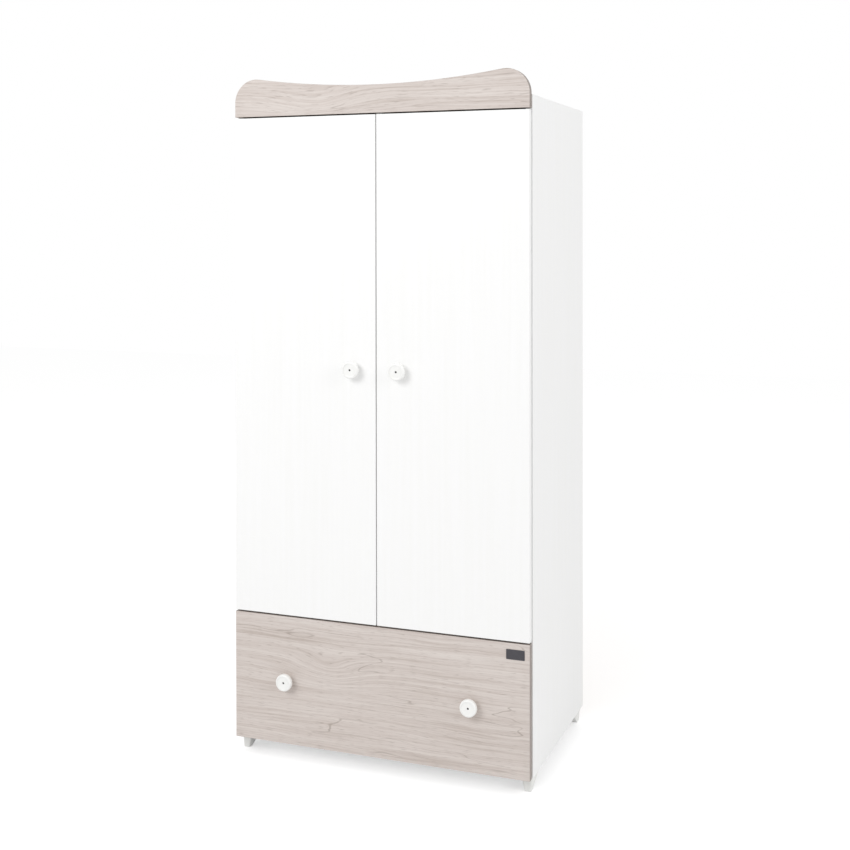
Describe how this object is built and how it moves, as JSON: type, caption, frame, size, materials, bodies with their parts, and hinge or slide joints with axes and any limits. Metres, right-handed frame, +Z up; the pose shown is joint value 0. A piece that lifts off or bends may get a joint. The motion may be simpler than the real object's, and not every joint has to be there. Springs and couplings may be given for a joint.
{
  "type": "wardrobe",
  "caption": "Tall free-standing wardrobe: hinged doors over a wide drawer on roller runners, wave-topped cornice, shelves, hanging rail, tapered feet.",
  "frame": {"origin": "on the floor, under the middle of the overall box (knobs to rear edges, side to side)", "axes": "+Z up, +X to the right seen from the front, -Y out of the front (doors and drawer open towards -Y)"},
  "size_m": [0.83, 0.567, 1.8134],
  "materials": {
    "white_board": "white melamine on chipboard, satin",
    "oak_board": "whitewashed oak decor on chipboard, horizontal grain, brown edge band",
    "white_hardboard": "thin hardboard, white on the inner face",
    "white_plastic": "moulded white plastic",
    "knob_gloss": "white, smooth",
    "zinc": "zinc-plated steel",
    "rail_chrome": "chromed steel tube",
    "runner_paint": "white powder coat on rolled steel",
    "beech": "fluted beech",
    "bumper_rubber": "soft translucent pad",
    "roller_nylon": "turned nylon",
    "plate_charcoal": "bare dark plate, no lettering"
  },
  "bodies": {
    "carcass": {"side_panel_left": "white_board", "side_panel_right": "white_board", "top_panel": "white_board", "bottom_panel": "white_board", "fixed_shelf": "white_board", "centre_partition": "white_board", "back_panel_left": "white_hardboard", "back_panel_right": "white_hardboard", "back_joining_strip": "white_plastic", "cornice": "oak_board", "cornice_brackets": "white_plastic", "foot_front_left": "white_plastic", "foot_front_right": "white_plastic", "foot_rear_left": "white_plastic", "foot_rear_right": "white_plastic", "shelf_left_1": "white_board", "shelf_left_2": "white_board", "shelf_left_3": "white_board", "hat_shelf": "white_board", "shelf_pins": "zinc", "hanging_rail": "rail_chrome", "rail_sockets": "zinc", "hinge_plates": "zinc", "hinge_arms": "zinc", "cabinet_runner_left": "runner_paint", "cabinet_runner_right": "runner_paint", "cam_locks": "zinc", "cam_bolts": "zinc", "dowels": "beech", "carcass_screws": "zinc", "wall_bracket": "zinc"},
    "door_left": {"door_panel_left": "white_board", "hinge_cups_left": "zinc", "hinge_pins_left": "zinc", "door_screws_left": "zinc", "door_knob_left": "knob_gloss", "door_bumpers_left": "bumper_rubber"},
    "door_right": {"door_panel_right": "white_board", "hinge_cups_right": "zinc", "hinge_pins_right": "zinc", "door_screws_right": "zinc", "door_knob_right": "knob_gloss", "door_bumpers_right": "bumper_rubber"},
    "drawer": {"drawer_front": "oak_board", "drawer_side_left": "white_board", "drawer_side_right": "white_board", "drawer_back": "white_board", "drawer_bottom": "white_hardboard", "drawer_runner_left": "runner_paint", "drawer_runner_right": "runner_paint", "drawer_knob_left": "knob_gloss", "drawer_knob_right": "knob_gloss", "drawer_screws": "zinc", "drawer_fittings": "zinc", "drawer_bumpers": "bumper_rubber", "front_plate": "plate_charcoal"},
    "front_roller_left": {"front_roller_left": "roller_nylon"},
    "front_roller_right": {"front_roller_right": "roller_nylon"},
    "rear_roller_left": {"rear_roller_left": "roller_nylon"},
    "rear_roller_right": {"rear_roller_right": "roller_nylon"}
  },
  "joints": [
    {"name": "door_left_hinge", "type": "hinge", "parent": "carcass", "child": "door_left", "pos_m": [-0.4055, -0.2485, 1.04675], "axis": [0, 0, -1], "range_deg": [0, 100]},
    {"name": "door_right_hinge", "type": "hinge", "parent": "carcass", "child": "door_right", "pos_m": [0.4055, -0.2485, 1.04675], "axis": [0, 0, 1], "range_deg": [0, 100]},
    {"name": "drawer_slide", "type": "slide", "parent": "carcass", "child": "drawer", "axis": [0, -1, 0], "range_m": [0, 0.34]},
    {"name": "front_roller_left_spin", "type": "hinge", "parent": "carcass", "child": "front_roller_left", "pos_m": [-0.3899, -0.2195, 0.0826], "axis": [1, 0, 0], "continuous": true},
    {"name": "front_roller_right_spin", "type": "hinge", "parent": "carcass", "child": "front_roller_right", "pos_m": [0.3899, -0.2195, 0.0826], "axis": [1, 0, 0], "continuous": true},
    {"name": "rear_roller_left_spin", "type": "hinge", "parent": "drawer", "child": "rear_roller_left", "pos_m": [-0.3899, 0.1985, 0.0825], "axis": [1, 0, 0], "continuous": true},
    {"name": "rear_roller_right_spin", "type": "hinge", "parent": "drawer", "child": "rear_roller_right", "pos_m": [0.3899, 0.1985, 0.0825], "axis": [1, 0, 0], "continuous": true}
  ],
  "couplings": [
    {"joint": "front_roller_left_spin", "follows": "drawer_slide", "rad_per_m": 90.909},
    {"joint": "front_roller_right_spin", "follows": "drawer_slide", "rad_per_m": 90.909},
    {"joint": "rear_roller_left_spin", "follows": "drawer_slide", "rad_per_m": 90.909},
    {"joint": "rear_roller_right_spin", "follows": "drawer_slide", "rad_per_m": 90.909}
  ]
}
